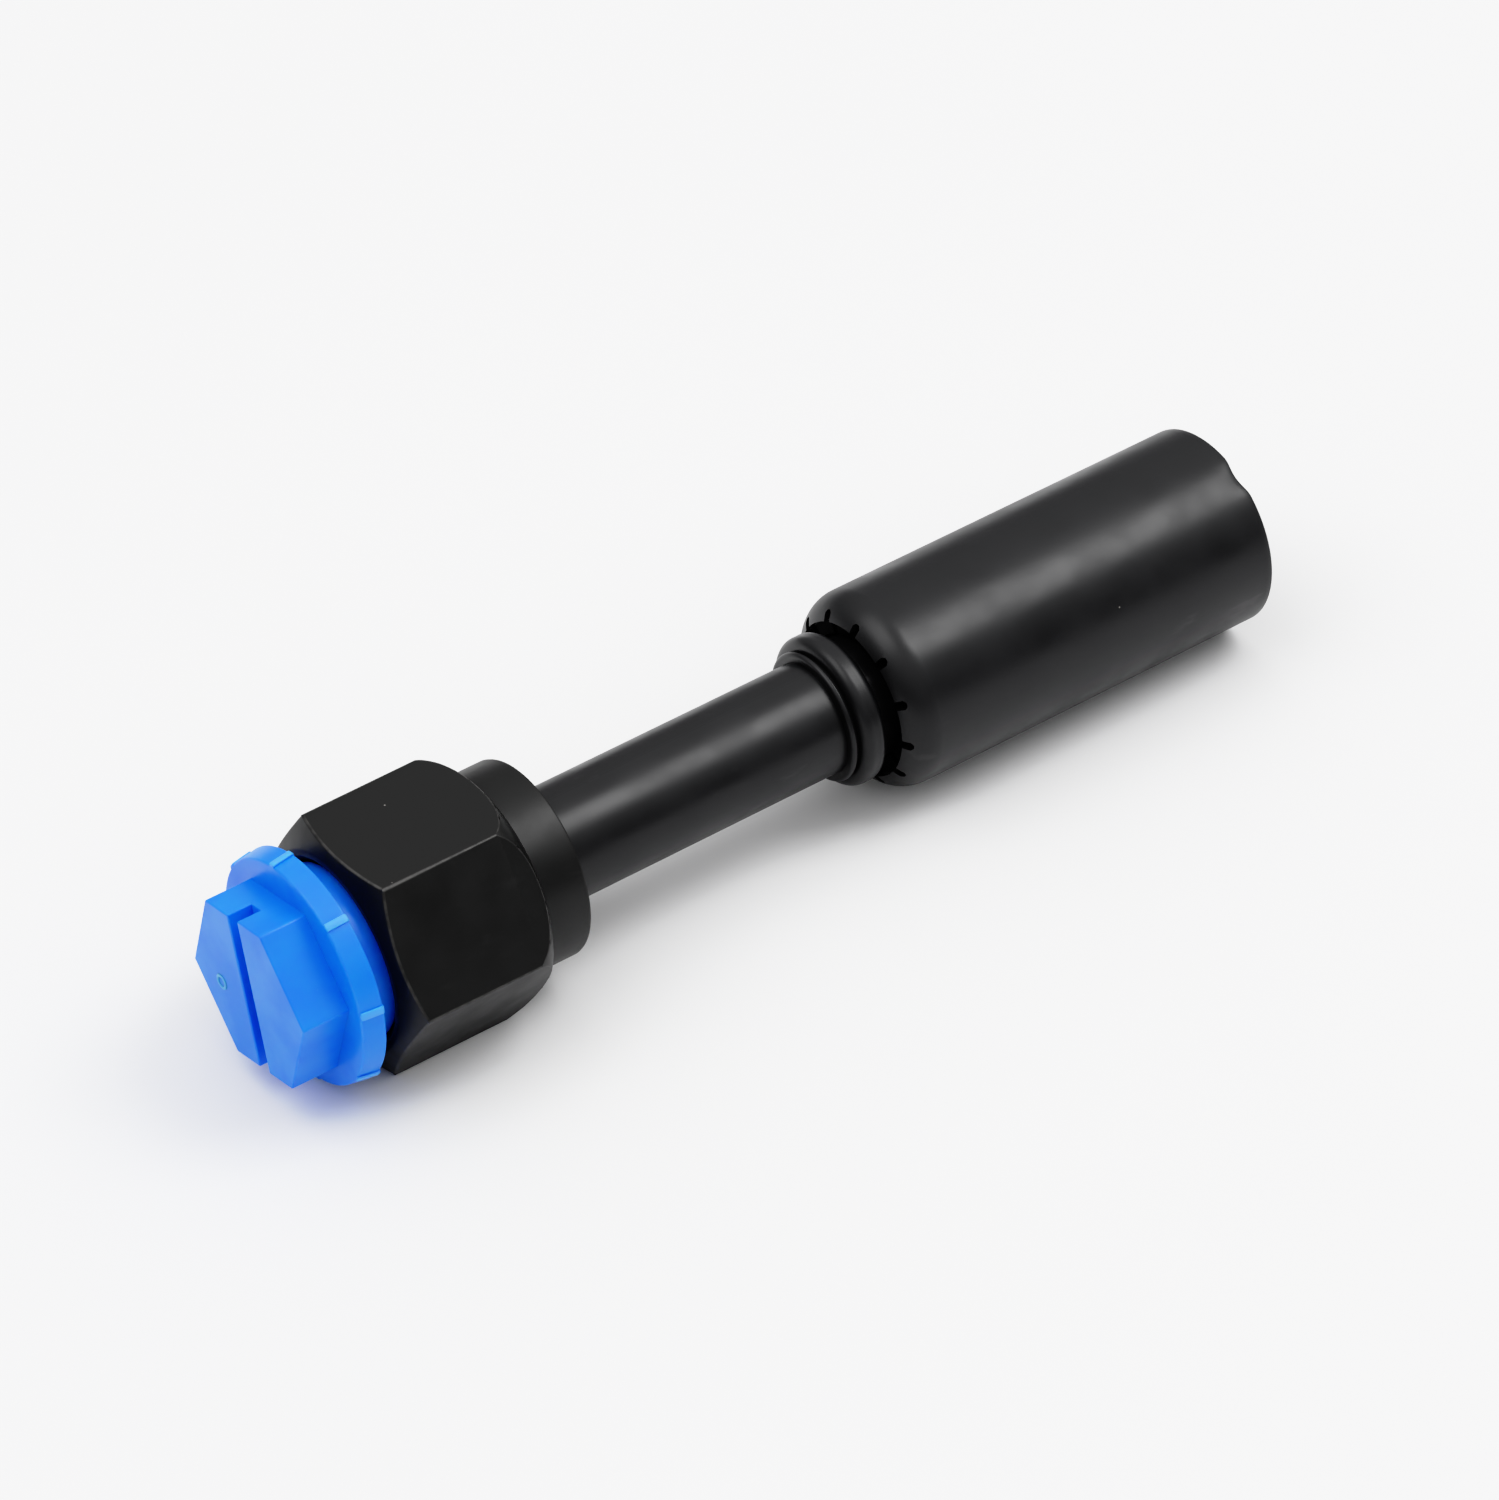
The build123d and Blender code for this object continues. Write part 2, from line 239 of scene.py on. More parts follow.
def put_in_scene(name: str, data: bpy.types.ID) -> bpy.types.Object:
    """Makes an object of a mesh, a light or a camera and links it to the scene."""
    thing = bpy.data.objects.new(name, data)
    bpy.context.scene.collection.objects.link(thing)
    return thing


@dataclass(frozen=True)
class ScrewThread:
    """The right-hand 3/4-16 thread that the nut and the plug share."""

    pitch: float = 25.4 / 16
    minor_radius: float = 8.75
    depth: float = 0.775
    rows_per_pitch: int = 12
    flat: float = 0.12

    def rows(self, start: float, end: float) -> list[float]:
        """Stations between two ends, close enough together to show the thread."""
        count = round((end - start) / self.pitch * self.rows_per_pitch)
        return [start + (end - start) * row / count for row in range(count + 1)]

    def height(self, point: Vector) -> float:
        """Height above the minor radius at a point, from 0 at the nut's crest to the depth at its root."""
        phase = (point.x / MM / self.pitch - angle_of(point)) % 1.0
        rise = (1 - abs(2 * phase - 1) - self.flat) / (1 - 2 * self.flat)
        rise = min(max(rise, 0.0), 1.0)
        return self.depth * (0.5 - 0.5 * math.cos(math.pi * rise))


# ---- finishes ----


@dataclass(frozen=True)
class Pattern:
    """Noise on the object's own coordinates, and the stretch of its values that counts.

    scale is in features per metre, detail in octaves, and stretch scales the noise along X, Y and Z.
    """

    scale: float
    detail: float = 3.0
    stretch: Triple = (1, 1, 1)
    low: float = 0.35
    high: float = 0.65


@dataclass(frozen=True)
class Specks:
    """Scattered dots.

    scale is in dots per metre before thinning, size is a dot's radius as a share of the spacing, share is
    the share of the dots that is kept, and core is the solid share of a dot's radius.
    """

    scale: float
    size: float
    share: float
    core: float = 0.5
    cut: float = 0.01


class Wiring:
    """A material's nodes, with short calls to add and join them."""

    blur = 0.05

    def __init__(self, name: str) -> None:
        """Starts a node material with one shader."""
        self.material = bpy.data.materials.new(name)
        self.material.use_nodes = True
        self.tree = self.material.node_tree
        self.shader = self.tree.nodes["Principled BSDF"]
        self.place = self.add("ShaderNodeTexCoord").outputs["Object"]

    def add(self, kind: str, **settings: object) -> bpy.types.Node:
        """Adds a node and sets its properties."""
        node = self.tree.nodes.new(kind)
        for name, value in settings.items():
            setattr(node, name, value)
        return node

    def join(self, output: Socket, target: Socket) -> None:
        """Joins an output to an input."""
        self.tree.links.new(output, target)

    def feed(self, socket: str, output: Socket) -> None:
        """Joins an output to an input of the shader."""
        self.join(output, self.shader.inputs[socket])

    def noise(self, pattern: Pattern) -> Socket:
        """Adds a pattern's noise and returns its factor."""
        mapping = self.add("ShaderNodeMapping")
        mapping.inputs["Scale"].default_value = pattern.stretch
        self.join(self.place, mapping.inputs["Vector"])
        noise = self.add("ShaderNodeTexNoise")
        noise.inputs["Scale"].default_value = pattern.scale
        noise.inputs["Detail"].default_value = pattern.detail
        self.join(mapping.outputs["Vector"], noise.inputs["Vector"])
        return noise.outputs["Fac"]

    def crest(self) -> Socket:
        """Reads the mark of the edges' crests."""
        return self.add("ShaderNodeAttribute", attribute_name=CREST).outputs["Fac"]

    def span(self, value: Socket, low: float, high: float, start: float, end: float) -> Socket:
        """Maps a value from the span low to high to the span start to end, held at the ends."""
        node = self.add("ShaderNodeMapRange", interpolation_type="SMOOTHSTEP")
        for socket, number in zip(("From Min", "From Max", "To Min", "To Max"), (low, high, start, end)):
            node.inputs[socket].default_value = number
        self.join(value, node.inputs["Value"])
        return node.outputs["Result"]

    def spread(self, pattern: Pattern, start: float, end: float) -> Socket:
        """Maps the part of a pattern's noise that counts to a span."""
        return self.span(self.noise(pattern), pattern.low, pattern.high, start, end)

    def outside(self, radius: float) -> Socket:
        """Tells what lies further from the X axis than a radius in millimetres: 1 outside and 0 inside."""
        across = self.add("ShaderNodeVectorMath", operation="MULTIPLY")
        across.inputs[1].default_value = (0, 1, 1)
        self.join(self.place, across.inputs[0])
        length = self.add("ShaderNodeVectorMath", operation="LENGTH")
        self.join(across.outputs["Vector"], length.inputs[0])
        return self.span(length.outputs["Value"], (radius - self.blur) * MM, (radius + self.blur) * MM, 0, 1)

    def times(self, first: Socket, second: Socket) -> Socket:
        """Multiplies two values."""
        node = self.add("ShaderNodeMath", operation="MULTIPLY")
        self.join(first, node.inputs[0])
        self.join(second, node.inputs[1])
        return node.outputs["Value"]

    def blend(self, factor: Socket, base: Socket | Sequence[float], over: Sequence[float]) -> Socket:
        """Mixes a share of the upper colour over a lower one, which is an output or RGB numbers."""
        node = self.add("ShaderNodeMix", data_type="RGBA")
        lower, upper = node.inputs[6], node.inputs[7]
        if isinstance(base, Socket):
            self.join(base, lower)
        else:
            lower.default_value = (*base, 1)
        upper.default_value = (*over, 1)
        self.join(factor, node.inputs[0])
        return node.outputs[2]

    def bump(self, pattern: Pattern, strength: float, depth: float, under: Socket | None = None) -> Socket:
        """Adds a bump of a depth in millimetres, on top of another one where that is given."""
        node = self.add("ShaderNodeBump")
        node.inputs["Strength"].default_value = strength
        node.inputs["Distance"].default_value = depth * MM
        self.join(self.noise(pattern), node.inputs["Height"])
        if under is not None:
            self.join(under, node.inputs["Normal"])
        return node.outputs["Normal"]

    def specks(self, dots: Specks) -> Socket:
        """Scatters small dots: 1 in a dot and 0 elsewhere."""
        cells = self.add("ShaderNodeTexVoronoi", feature="F1")
        cells.inputs["Scale"].default_value = dots.scale
        self.join(self.place, cells.inputs["Vector"])
        split = self.add("ShaderNodeSeparateColor")
        self.join(cells.outputs["Color"], split.inputs["Color"])
        kept = self.span(split.outputs["Red"], 1 - dots.share, 1 - dots.share + dots.cut, 0, 1)
        return self.times(self.span(cells.outputs["Distance"], dots.size * dots.core, dots.size, 1, 0), kept)


def shaded(tint: Sequence[float], factor: float) -> list[float]:
    """A tint made lighter or darker by a factor."""
    return [channel * factor for channel in tint]


@dataclass(frozen=True)
class BlackCoat:
    """Black conversion coating on steel, satin on drawn parts and matt on the nut, with edge crests painted
    lighter, partly as wear and partly as a painted highlight, and painted shade inside a radius from the
    axis.
    """

    name: str
    tint: Triple = (0.0105, 0.0105, 0.0115)
    worn_tint: Triple = (0.055, 0.053, 0.055)
    wear_and_highlight_tint: Triple = (0.075, 0.072, 0.07)
    dust_tint: Triple = (0.20, 0.19, 0.18)
    roughness: float = 0.36
    roughness_play: float = 0.05
    mottle_share: float = 0.35
    mottle_lift: float = 1.5
    scuffs: float = 0.35
    # Edge crests painted lighter, partly as wear and partly as a painted highlight: strength, least share
    # and start.
    edge_wear_and_highlight: float = 0.0
    least_wear_and_highlight: float = 0.3
    wear_and_highlight_start: float = 0.2
    # Painted shade inside a radius from the X axis: the radius, the colour factor and the specular level
    # there.
    painted_shade_radius: float = 0.0
    painted_shade_factor: float = 0.5
    core_gloss: float = 0.02
    gloss: float = 0.5
    draw_marks: float = 0.10
    draw_depth: float = 0.01
    grain: float = 0.05
    grain_depth: float = 0.02
    dust: Specks = Specks(330, 0.045, 0.10)
    mottle: Pattern = Pattern(170, 4, low=0.3, high=0.7)
    rubs: Pattern = Pattern(420, 6, (0.35, 1, 1), 0.60, 0.72)
    patches: Pattern = Pattern(60, 2, low=0.50, high=0.66)
    breaks: Pattern = Pattern(900, 4)
    draw_lines: Pattern = Pattern(1500, 3, (0.04, 1, 1))
    grain_lines: Pattern = Pattern(5200, 3)

    def make(self) -> bpy.types.Material:
        """Builds the material."""
        wiring = Wiring(self.name)
        mottle, low, high = wiring.noise(self.mottle), self.mottle.low, self.mottle.high
        scuff = wiring.times(wiring.spread(self.rubs, 0, self.scuffs), wiring.spread(self.patches, 0, 1))
        share = wiring.span(mottle, low, high, 0, self.mottle_share)
        colour = wiring.blend(share, self.tint, shaded(self.tint, self.mottle_lift))
        colour = wiring.blend(scuff, colour, self.worn_tint)
        colour = wiring.blend(wiring.specks(self.dust), colour, self.dust_tint)
        # Edge crests: a lighter colour on the marked crests, partly wear and partly a painted highlight of
        # the edges.
        if self.edge_wear_and_highlight:
            crest = wiring.span(wiring.crest(), self.wear_and_highlight_start, 1, 0, self.edge_wear_and_highlight)
            worn = wiring.times(crest, wiring.spread(self.breaks, self.least_wear_and_highlight, 1))
            colour = wiring.blend(worn, colour, self.wear_and_highlight_tint)
        # Painted shade: inside the radius the colour is darkened and the specular lowered, standing in for
        # the shade inside the sleeve's mouth.
        if self.painted_shade_radius:
            outside = wiring.outside(self.painted_shade_radius)
            inside = wiring.span(outside, 0, 1, 1, 0)
            colour = wiring.blend(inside, colour, shaded(self.tint, self.painted_shade_factor))
            wiring.feed("Specular IOR Level", wiring.span(outside, 0, 1, self.core_gloss, self.gloss))
        smooth, rough = self.roughness - self.roughness_play, self.roughness + self.roughness_play
        wiring.feed("Base Color", colour)
        wiring.feed("Roughness", wiring.span(mottle, low, high, smooth, rough))
        drawn = wiring.bump(self.draw_lines, self.draw_marks, self.draw_depth)
        wiring.feed("Normal", wiring.bump(self.grain_lines, self.grain, self.grain_depth, drawn))
        return wiring.material


@dataclass(frozen=True)
class MouldedPlastic:
    """Bright blue polyethylene that light enters and leaves again, with a painted highlight on its thin
    crests.
    """

    name: str
    tint: Triple = (0.015, 0.225, 0.84)
    deep_tint: Triple = (0.010, 0.185, 0.81)
    dust_tint: Triple = (0.06, 0.33, 0.88)
    # Painted highlight on the thin crests: its lighter blue and its strength.
    painted_highlight_tint: Triple = (0.13, 0.45, 0.93)
    painted_highlight_share: float = 0.6
    roughness: float = 0.36
    roughness_play: float = 0.05
    light_share: float = 0.75
    light_reach: Triple = (0.25, 0.7, 1.6)
    depth_of_light: float = 0.45
    peel: float = 0.10
    peel_depth: float = 0.02
    scratches: float = 0.05
    scratch_depth: float = 0.01
    dust: Specks = Specks(420, 0.05, 0.06)
    flow: Pattern = Pattern(140, 3, (0.5, 1, 1))
    peel_lines: Pattern = Pattern(1300, 3)
    scratch_lines: Pattern = Pattern(2600, 4, (1, 0.1, 1))

    def make(self) -> bpy.types.Material:
        """Builds the material."""
        wiring = Wiring(self.name)
        flow, low, high = wiring.noise(self.flow), self.flow.low, self.flow.high
        colour = wiring.blend(wiring.span(flow, low, high, 0, 1), self.tint, self.deep_tint)
        colour = wiring.blend(wiring.specks(self.dust), colour, self.dust_tint)
        # Painted highlight: the marked crests are mixed towards a lighter blue.
        thin = wiring.span(wiring.crest(), 0, 1, 0, self.painted_highlight_share)
        wiring.feed("Base Color", wiring.blend(thin, colour, self.painted_highlight_tint))
        smooth, rough = self.roughness - self.roughness_play, self.roughness + self.roughness_play
        wiring.feed("Roughness", wiring.span(flow, low, high, smooth, rough))
        wiring.shader.inputs["Subsurface Weight"].default_value = self.light_share
        wiring.shader.inputs["Subsurface Radius"].default_value = self.light_reach
        wiring.shader.inputs["Subsurface Scale"].default_value = self.depth_of_light * MM
        peel = wiring.bump(self.peel_lines, self.peel, self.peel_depth)
        wiring.feed("Normal", wiring.bump(self.scratch_lines, self.scratches, self.scratch_depth, peel))
        return wiring.material


@dataclass(frozen=True)
class OiledRubber:
    """Green seal rubber with a trace of oil."""

    name: str
    tint: Triple = (0.020, 0.150, 0.060)
    shade: float = 0.7
    roughness: float = 0.34
    dry_roughness: float = 0.54
    texture: float = 0.15
    texture_depth: float = 0.01
    film: Pattern = Pattern(500, 3)
    texture_lines: Pattern = Pattern(4000, 2)

    def make(self) -> bpy.types.Material:
        """Builds the material."""
        wiring = Wiring(self.name)
        film, low, high = wiring.noise(self.film), self.film.low, self.film.high
        share = wiring.span(film, low, high, 0, 1)
        wiring.feed("Base Color", wiring.blend(share, self.tint, shaded(self.tint, self.shade)))
        wiring.feed("Roughness", wiring.span(film, low, high, self.roughness, self.dry_roughness))
        wiring.feed("Normal", wiring.bump(self.texture_lines, self.texture, self.texture_depth))
        return wiring.material


@dataclass(frozen=True)
class PaleSheet:
    """Smooth pale paper under the object."""

    name: str
    tint: Triple = (0.86, 0.86, 0.865)
    shade: float = 0.985
    roughness: float = 0.8
    gloss: float = 0.2
    fibre: Pattern = Pattern(8, 3, low=0.3, high=0.7)

    def make(self) -> bpy.types.Material:
        """Builds the material."""
        wiring = Wiring(self.name)
        share = wiring.spread(self.fibre, 0, 1)
        wiring.feed("Base Color", wiring.blend(share, self.tint, shaded(self.tint, self.shade)))
        wiring.shader.inputs["Roughness"].default_value = self.roughness
        wiring.shader.inputs["Specular IOR Level"].default_value = self.gloss
        return wiring.material


# ---- pieces ----


@dataclass
class Piece:
    """A piece that is shaped here and stands for one CAD node."""

    name: str
    node: str
    body: Body
    slot: Slot
    finish: Callable[[], bpy.types.Material]
    crease: float = 32.0

    def shape(self) -> Mesh:
        """Shapes the piece; each kind of piece has its own."""
        raise NotImplementedError

    def build(self) -> bpy.types.Object:
        """Shapes and dresses the piece, ties it to its body, hides its CAD node, and returns it."""
        mesh = self.shape()
        data = bpy.data.meshes.new(self.name)
        mesh.to_mesh(data)
        mesh.free()
        data.shade_smooth()
        data.set_sharp_from_angle(angle=math.radians(self.crease))
        data.materials.append(self.finish())
        piece = put_in_scene(self.name, data)
        flats = piece.modifiers.new("flat faces stay flat", "WEIGHTED_NORMAL")
        flats.keep_sharp = True
        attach(piece, self.body.value)
        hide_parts(self.node)
        log.info("%s: %d faces on body %s", self.name, len(data.polygons), self.body.value)
        return piece


@dataclass
class SwivelNut(Piece):
    """Hexagon union nut with a round collar, a threaded mouth and a cavity for the tube's bead."""

    hex_length: float = 19.1
    face_radius: float = 11.4
    face_edge: float = 0.15
    chamfer_length: float = 1.7
    envelope_margin: float = 0.1
    shoulder_round: float = 4.9
    shoulder_steps: int = 14
    corner_round: float = 0.36
    front_rim_round: float = 0.28
    back_rim_round: float = 0.12
    crest_steps: int = 3
    flat_corners: int = 8
    least_slope: float = 0.1
    collar_radius: float = 11.1
    collar_chamfer: float = 0.4
    tube_hole_radius: float = 6.55
    hole_edge: float = 0.15
    cavity_radius: float = 9.6
    cavity_length: float = 4.2
    cavity_edge: float = 0.3
    back_wall: float = 7.0
    mouth_lead: float = 2.0
    mouth_edge: float = 0.12
    thread_runout: float = 0.05
    columns: int = 192
    thread: ScrewThread = field(default_factory=ScrewThread)

    def shape(self) -> Mesh:
        """Turns the nut, cuts its thread and mills its six flats."""
        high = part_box(self.node)[1]
        flat_distance, back = high.z / MM, high.x / MM
        mesh = turned(self.section(back, flat_distance), self.columns)
        self.cut_thread(mesh, back)
        self.mill_flats(mesh, flat_distance)
        return mesh

    def section(self, back: float, flat_distance: float) -> list[Corner]:
        """Makes the closed section, outside first, from the collar's back and the flats' distance."""
        envelope = flat_distance / HEX_CORNER + self.envelope_margin
        minor = self.thread.minor_radius
        floor = back - self.back_wall
        relief = floor - self.cavity_length
        rows = self.thread.rows(self.thread_start(), relief)
        bend = envelope - self.shoulder_round
        shoulder_end = 180 - math.degrees(math.asin((self.collar_radius - bend) / self.shoulder_round))
        return [
            Corner(0, self.face_radius, self.face_edge),
            Corner(self.chamfer_length, envelope),
            *arc(self.hex_length - self.shoulder_round, bend, self.shoulder_round, 90, shoulder_end,
                 self.shoulder_steps),
            Corner(back, self.collar_radius, self.collar_chamfer, steps=2),
            Corner(back, self.tube_hole_radius, self.hole_edge),
            Corner(floor, self.tube_hole_radius),
            Corner(floor, self.cavity_radius, self.cavity_edge),
            Corner(relief + self.cavity_radius - minor, self.cavity_radius),
            *[Corner(x, self.bore_radius(x)) for x in reversed(rows)],
            Corner(0, self.bore_radius(0), self.mouth_edge),
        ]

    def thread_start(self) -> float:
        """Station in the mouth's lead where the thread's root has run out."""
        return self.mouth_lead - self.thread.depth - self.thread_runout

    def bore_radius(self, x: float) -> float:
        """Radius of the bore before threading: the thread's crests, widened by the lead at the mouth."""
        return self.thread.minor_radius + max(self.mouth_lead - x, 0.0)

    def cut_thread(self, mesh: Mesh, back: float) -> None:
        """Cuts the thread into the bore and its lead by moving their rows outwards."""
        end = back - self.back_wall - self.cavity_length
        for vertex in mesh.verts:
            x = vertex.co.x / MM
            bore = self.bore_radius(x)
            if self.thread_start() - NEAR < x < end + NEAR and radius_of(vertex.co) < bore + NEAR:
                set_radius(vertex.co, max(bore, self.thread.minor_radius + self.thread.height(vertex.co)))

    def mill_flats(self, mesh: Mesh, flat_distance: float) -> None:
        """Cuts the six flats at a distance from the axis and rounds the edges that they leave."""
        crest = mesh.verts.layers.float.new(CREST)
        for side in range(6):
            angle = math.radians(90 + 60 * side)
            normal = Vector((0, math.cos(angle), math.sin(angle)))
            loop = cut_plane(mesh, normal * flat_distance * MM, normal, clear=True)
            bmesh.ops.edgeloop_fill(mesh, edges=loop)
        face_out(mesh)
        flats = self.find_flats(mesh)
        corners = [edge for edge in mesh.edges if flats.issuperset(edge.link_faces)]
        self.round_and_mark_crests(mesh, corners, self.corner_round, crest)
        middle = self.hex_length / 2
        self.round_and_mark_crests(mesh, self.find_rims(mesh, 0, middle), self.front_rim_round, crest)
        self.round_and_mark_crests(mesh, self.find_rims(mesh, middle, self.hex_length), self.back_rim_round, crest)

    def find_flats(self, mesh: Mesh) -> set[Face]:
        """Finds the six flats, the only faces with many corners."""
        return {face for face in mesh.faces if len(face.verts) > self.flat_corners}

    def find_rims(self, mesh: Mesh, start: float, end: float) -> list[Edge]:
        """Finds the edges between the flats and the turned surface, between two stations."""
        flats = self.find_flats(mesh)
        rims = []
        for edge in mesh.edges:
            turned_faces = [face for face in edge.link_faces if abs(face.normal.x) > self.least_slope]
            between = len(flats.intersection(edge.link_faces)) == 1 and len(turned_faces) == 1
            if between and start < edge.verts[0].co.x / MM < end:
                rims.append(edge)
        return rims

    def round_and_mark_crests(self, mesh: Mesh, edges: list[Edge], width: float,
                   crest: bmesh.types.BMLayerItem) -> None:
        """Rounds edges by a width and marks the crest of the rounding, which the coat paints lighter as wear
        and painted highlight.
        """
        rounded = set(bevel(mesh, edges, width, self.crest_steps))
        for vertex in {corner for face in rounded for corner in face.verts}:
            if rounded.issuperset(vertex.link_faces):
                vertex[crest] = 1.0


@dataclass
class CrimpSleeve(Piece):
    """Drawn sleeve with a rounded, notched closed end and an open hose end."""

    front: float = 65.25
    end_round: float = 4.0
    wall: float = 1.4
    mouth_radius: float = 8.9
    tooth_front: float = 66.35
    tooth_back: float = 67.35
    tooth_radius: float = 7.15
    notches: int = 12
    notch_phase: float = 58.0
    notch_reach: float = 10.0
    notch_taper: float = 0.6
    inner_reach: float = 60.0
    edge_round: float = 0.3
    rim_rings: tuple[float, ...] = (0.02, 0.05, 0.1, 0.3, 0.6)
    tooth_edge: float = 0.15
    columns: int = 240
    half_notch: int = 2
    notch_margin: float = 0.1
    lip_reach: float = 0.1
    dent_angle: float = 63.0
    dent_radius: float = 10.8
    dent_depth: float = 0.35
    dent_inward: float = 0.6
    dent_size: float = 2.6

    def shape(self) -> Mesh:
        """Turns the sleeve, opens its notches and presses in the dent at its open rim."""
        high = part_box(self.node)[1]
        back, outer = high.x / MM, high.z / MM
        mesh = turned(self.section(back, outer), self.columns)
        for notch in range(self.notches):
            self.open_notch(mesh, notch)
        turn_up(mesh, self.notch_phase)
        self.press_dent(mesh, back)
        face_out(mesh)
        return mesh

    def section(self, back: float, outer: float) -> list[Corner]:
        """Makes the closed section of the shell from the open end's station and the outer radius."""
        bend = outer - self.end_round
        notch = math.degrees(math.asin((self.notch_reach - bend) / self.end_round))
        mouth = math.degrees(math.asin((self.mouth_radius - bend) / self.end_round))
        inner_bend = self.end_round - self.wall
        inner = self.tooth_back + inner_bend
        inner_arc = arc(inner, bend, inner_bend, 0, self.inner_reach, steps=6)
        inner_arc += arc(inner, bend, inner_bend, self.inner_reach, 90, steps=3)[1:]
        rings = [back - (back - inner) * share for share in self.rim_rings]
        return [
            Corner(back, outer, self.edge_round),
            *[Corner(x, outer) for x in rings],
            *arc(self.front + self.end_round, bend, self.end_round, 90, notch, steps=8),
            *arc(self.front + self.end_round, bend, self.end_round, notch, mouth, steps=4)[1:],
            Corner(self.tooth_front, self.mouth_radius),
            Corner(self.tooth_front, self.tooth_radius, self.tooth_edge),
            Corner(self.tooth_back, self.tooth_radius),
            *inner_arc,
            *[Corner(x, outer - self.wall) for x in reversed(rings)],
            Corner(back, outer - self.wall, self.edge_round),
        ]

    def open_notch(self, mesh: Mesh, notch: int) -> None:
        """Opens one notch, counted from the one facing -Y, through the rim of the mouth."""
        centre = math.radians(notch * 360 / self.notches)
        half = math.radians((self.half_notch + self.notch_margin) * 360 / self.columns)
        inner_bend = self.end_round - self.wall
        inner = self.tooth_back + inner_bend * (1 - math.cos(math.radians(self.inner_reach)))

        def off_centre(point: Vector) -> float:
            """Angle from the notch's middle, in radians."""
            turn = math.atan2(point.z, -point.y) - centre
            return math.remainder(turn, math.tau)

        def is_notch(point: Vector) -> bool:
            """Whether a face centre lies in the notch."""
            near = abs(off_centre(point)) < half
            return near and point.x / MM < inner and radius_of(point) < self.notch_reach - 2 * NEAR

        def open_edges() -> list[Edge]:
            """Edges of the hole at the notch."""
            near = [edge for edge in mesh.edges if abs(off_centre(edge.verts[0].co)) < 2 * half]
            return [edge for edge in near if edge.is_boundary]

        def is_lip(edge: Edge) -> bool:
            """Whether an edge runs round the shell at one station."""
            first, last = (end.co for end in edge.verts)
            return abs(first.x - last.x) < MERGE and abs(radius_of(first) - radius_of(last)) < NEAR

        gone = [face for face in mesh.faces if is_notch(face.calc_center_median())]
        bmesh.ops.delete(mesh, geom=gone, context="FACES")
        lips = [edge for edge in open_edges() if is_lip(edge)]
        bmesh.ops.bridge_loops(mesh, edges=lips)
        bmesh.ops.holes_fill(mesh, edges=open_edges(), sides=0)
        corners = {corner for edge in lips for corner in edge.verts}
        for vertex in corners:
            if radius_of(vertex.co) > self.notch_reach - self.lip_reach:
                back_turn = off_centre(vertex.co) * self.notch_taper
                vertex.co = Matrix.Rotation(back_turn, 3, "X") @ vertex.co

    def press_dent(self, mesh: Mesh, back: float) -> None:
        """Presses a small handling dent into the open rim."""
        angle = math.radians(self.dent_angle)
        centre = Vector((back, -math.cos(angle) * self.dent_radius, math.sin(angle) * self.dent_radius)) * MM
        for vertex in mesh.verts:
            share = (vertex.co - centre).length / (self.dent_size * MM)
            if share < 1:
                press = self.dent_depth * (1 - share * share) ** 2
                set_radius(vertex.co, radius_of(vertex.co) - self.dent_inward * press)
                vertex.co.x -= press * MM


